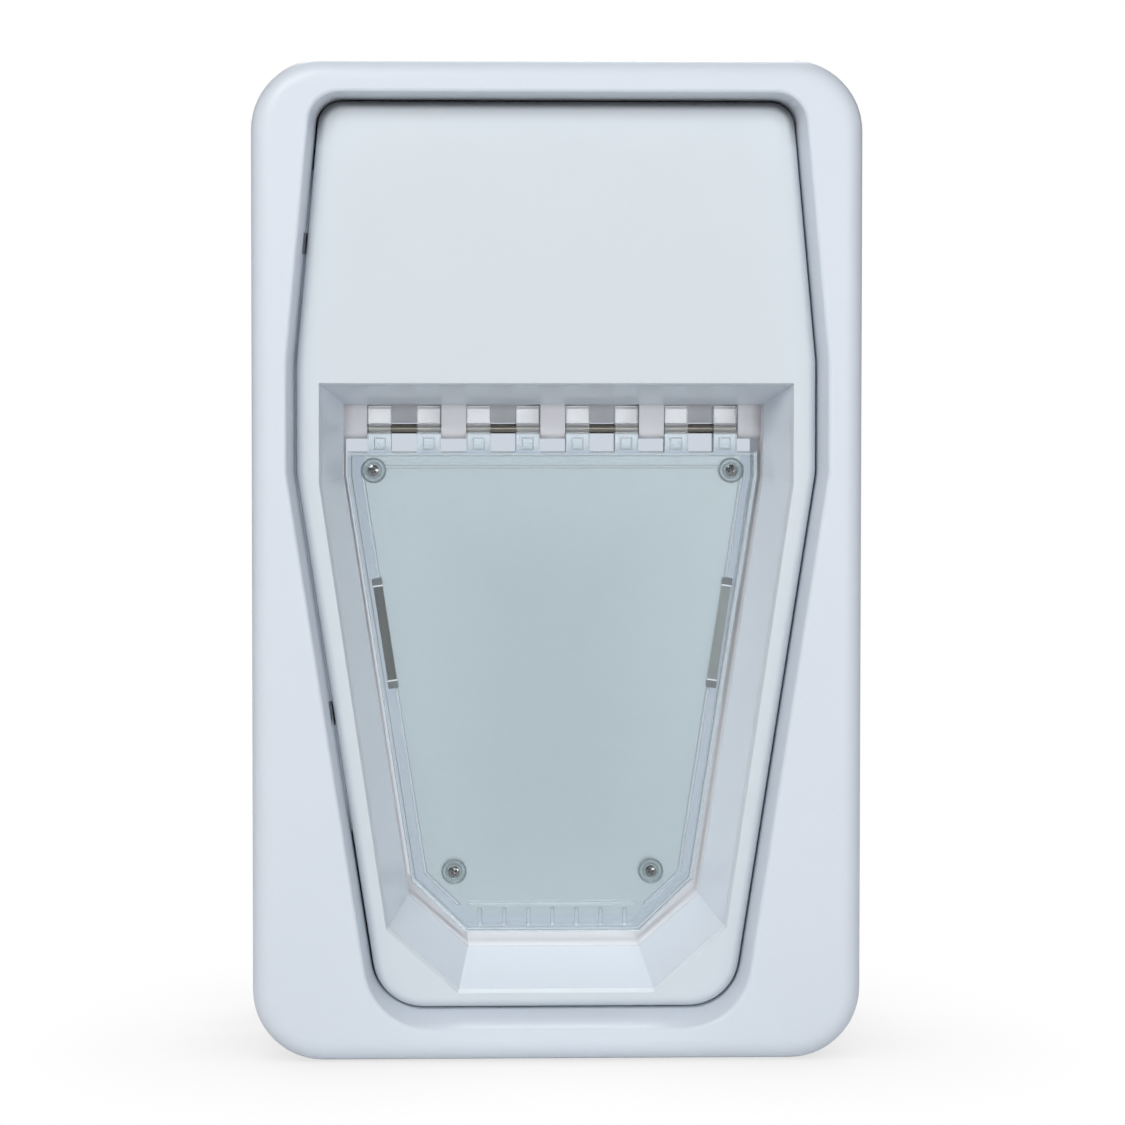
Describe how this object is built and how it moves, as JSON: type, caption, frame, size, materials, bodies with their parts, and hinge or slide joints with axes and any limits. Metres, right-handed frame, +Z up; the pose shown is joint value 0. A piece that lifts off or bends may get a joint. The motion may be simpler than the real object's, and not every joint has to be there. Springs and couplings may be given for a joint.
{
  "type": "microchip dog door",
  "caption": "Battery-powered pet door with a clear top-hung flap on a comb hinge, a coffin-shaped snap-off front cover, and two frames that clamp the door leaf.",
  "frame": {"origin": "centre of the fitted door's bounding box, on its centre line and half way through its depth", "axes": "+Z up, +X to the right as seen from the room side, +Y from the room side to the far side"},
  "size_m": [0.236, 0.11, 0.387],
  "materials": {
    "white_plastic": "satin moulded",
    "clear_plastic": "clear, frosted inside",
    "polished_steel": "polished",
    "dark_steel": "dark, satin",
    "zinc_steel": "zinc plated",
    "board_green": "solder resist",
    "black_plastic": "moulded",
    "grey_plastic": "moulded",
    "copper_winding": "enamelled wire",
    "battery_wrap": "printed wrap, plain",
    "magnet_metal": "nickel plated",
    "foam_rubber": "closed-cell foam",
    "red_lens": "moulded lens"
  },
  "bodies": {
    "frame": {"front_frame": "white_plastic", "chassis": "white_plastic", "tunnel": "white_plastic", "rear_frame": "white_plastic", "front_seal": "foam_rubber", "rear_seal": "foam_rubber", "hinge_pin": "polished_steel", "pin_clips": "zinc_steel", "through_bolts": "zinc_steel", "chassis_screws": "zinc_steel", "board_screws": "zinc_steel", "reader_coil": "copper_winding", "circuit_board": "board_green", "controller_chip": "black_plastic", "switch_bodies": "black_plastic", "status_lamps": "red_lens", "solenoid_frame": "zinc_steel", "solenoid_coil": "copper_winding", "battery_lower_left": "battery_wrap", "battery_lower_right": "battery_wrap", "battery_upper_left": "battery_wrap", "battery_upper_right": "battery_wrap", "battery_contacts": "zinc_steel", "magnet_left": "magnet_metal", "magnet_right": "magnet_metal"},
    "flap": {"flap_front_shell": "clear_plastic", "flap_rear_shell": "clear_plastic", "flap_screws": "polished_steel", "strip_left": "dark_steel", "strip_right": "dark_steel", "strip_clips": "white_plastic"},
    "cover": {"front_cover": "white_plastic", "mouth_funnel": "white_plastic"},
    "lock": {"lock_fork": "grey_plastic", "lock_plunger": "zinc_steel"},
    "mode": {"mode_button": "grey_plastic"},
    "learn": {"learn_button": "grey_plastic"}
  },
  "joints": [
    {"name": "flap_hinge", "type": "hinge", "parent": "frame", "child": "flap", "pos_m": [0, -0.005, 0.051], "axis": [1, 0, 0], "range_deg": [-75, 75]},
    {"name": "cover_pull", "type": "slide", "parent": "frame", "child": "cover", "axis": [0, -1, 0], "range_m": [0, 0.06]},
    {"name": "lock_slide", "type": "slide", "parent": "frame", "child": "lock", "axis": [0, 0, -1], "range_m": [0, 0.0045]},
    {"name": "mode_press", "type": "slide", "parent": "frame", "child": "mode", "axis": [0, 1, 0], "range_m": [0, 0.0012], "stiffness_N_per_m": 1500},
    {"name": "learn_press", "type": "slide", "parent": "frame", "child": "learn", "axis": [0, 1, 0], "range_m": [0, 0.0012], "stiffness_N_per_m": 1500}
  ]
}
